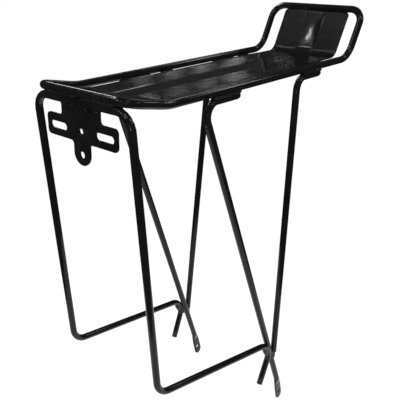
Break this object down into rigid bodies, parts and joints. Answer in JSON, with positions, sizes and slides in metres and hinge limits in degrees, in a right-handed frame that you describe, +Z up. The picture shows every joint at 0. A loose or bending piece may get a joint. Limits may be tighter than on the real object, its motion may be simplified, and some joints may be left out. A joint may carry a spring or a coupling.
{
  "type": "bicycle rear carrier",
  "caption": "Black enamelled steel rear carrier for a bicycle: bar frame with ribbed deck, backstop hoop, splayed legs, slotted mounting plate and flattened feet.",
  "frame": {"origin": "front face of the mounting plate, midway between its two slots", "axes": "+X to the rear of the bicycle, +Y to its right side, +Z up, deck level; the halves mirror about Y = 0"},
  "size_m": [0.4017, 0.1626, 0.5214],
  "materials": {
    "bar_enamel": "gloss black stove enamel on round steel bar",
    "sheet_enamel": "gloss black stove enamel on pressed steel sheet"
  },
  "bodies": {
    "root": {"top_frame": "bar_enamel", "front_hoop": "bar_enamel", "middle_leg_left": "bar_enamel", "middle_leg_right": "bar_enamel", "rear_leg_left": "bar_enamel", "rear_leg_right": "bar_enamel", "deck_plate": "sheet_enamel", "mounting_plate": "sheet_enamel", "deck_strap_front": "sheet_enamel", "deck_strap_rear": "sheet_enamel"}
  },
  "joints": []
}
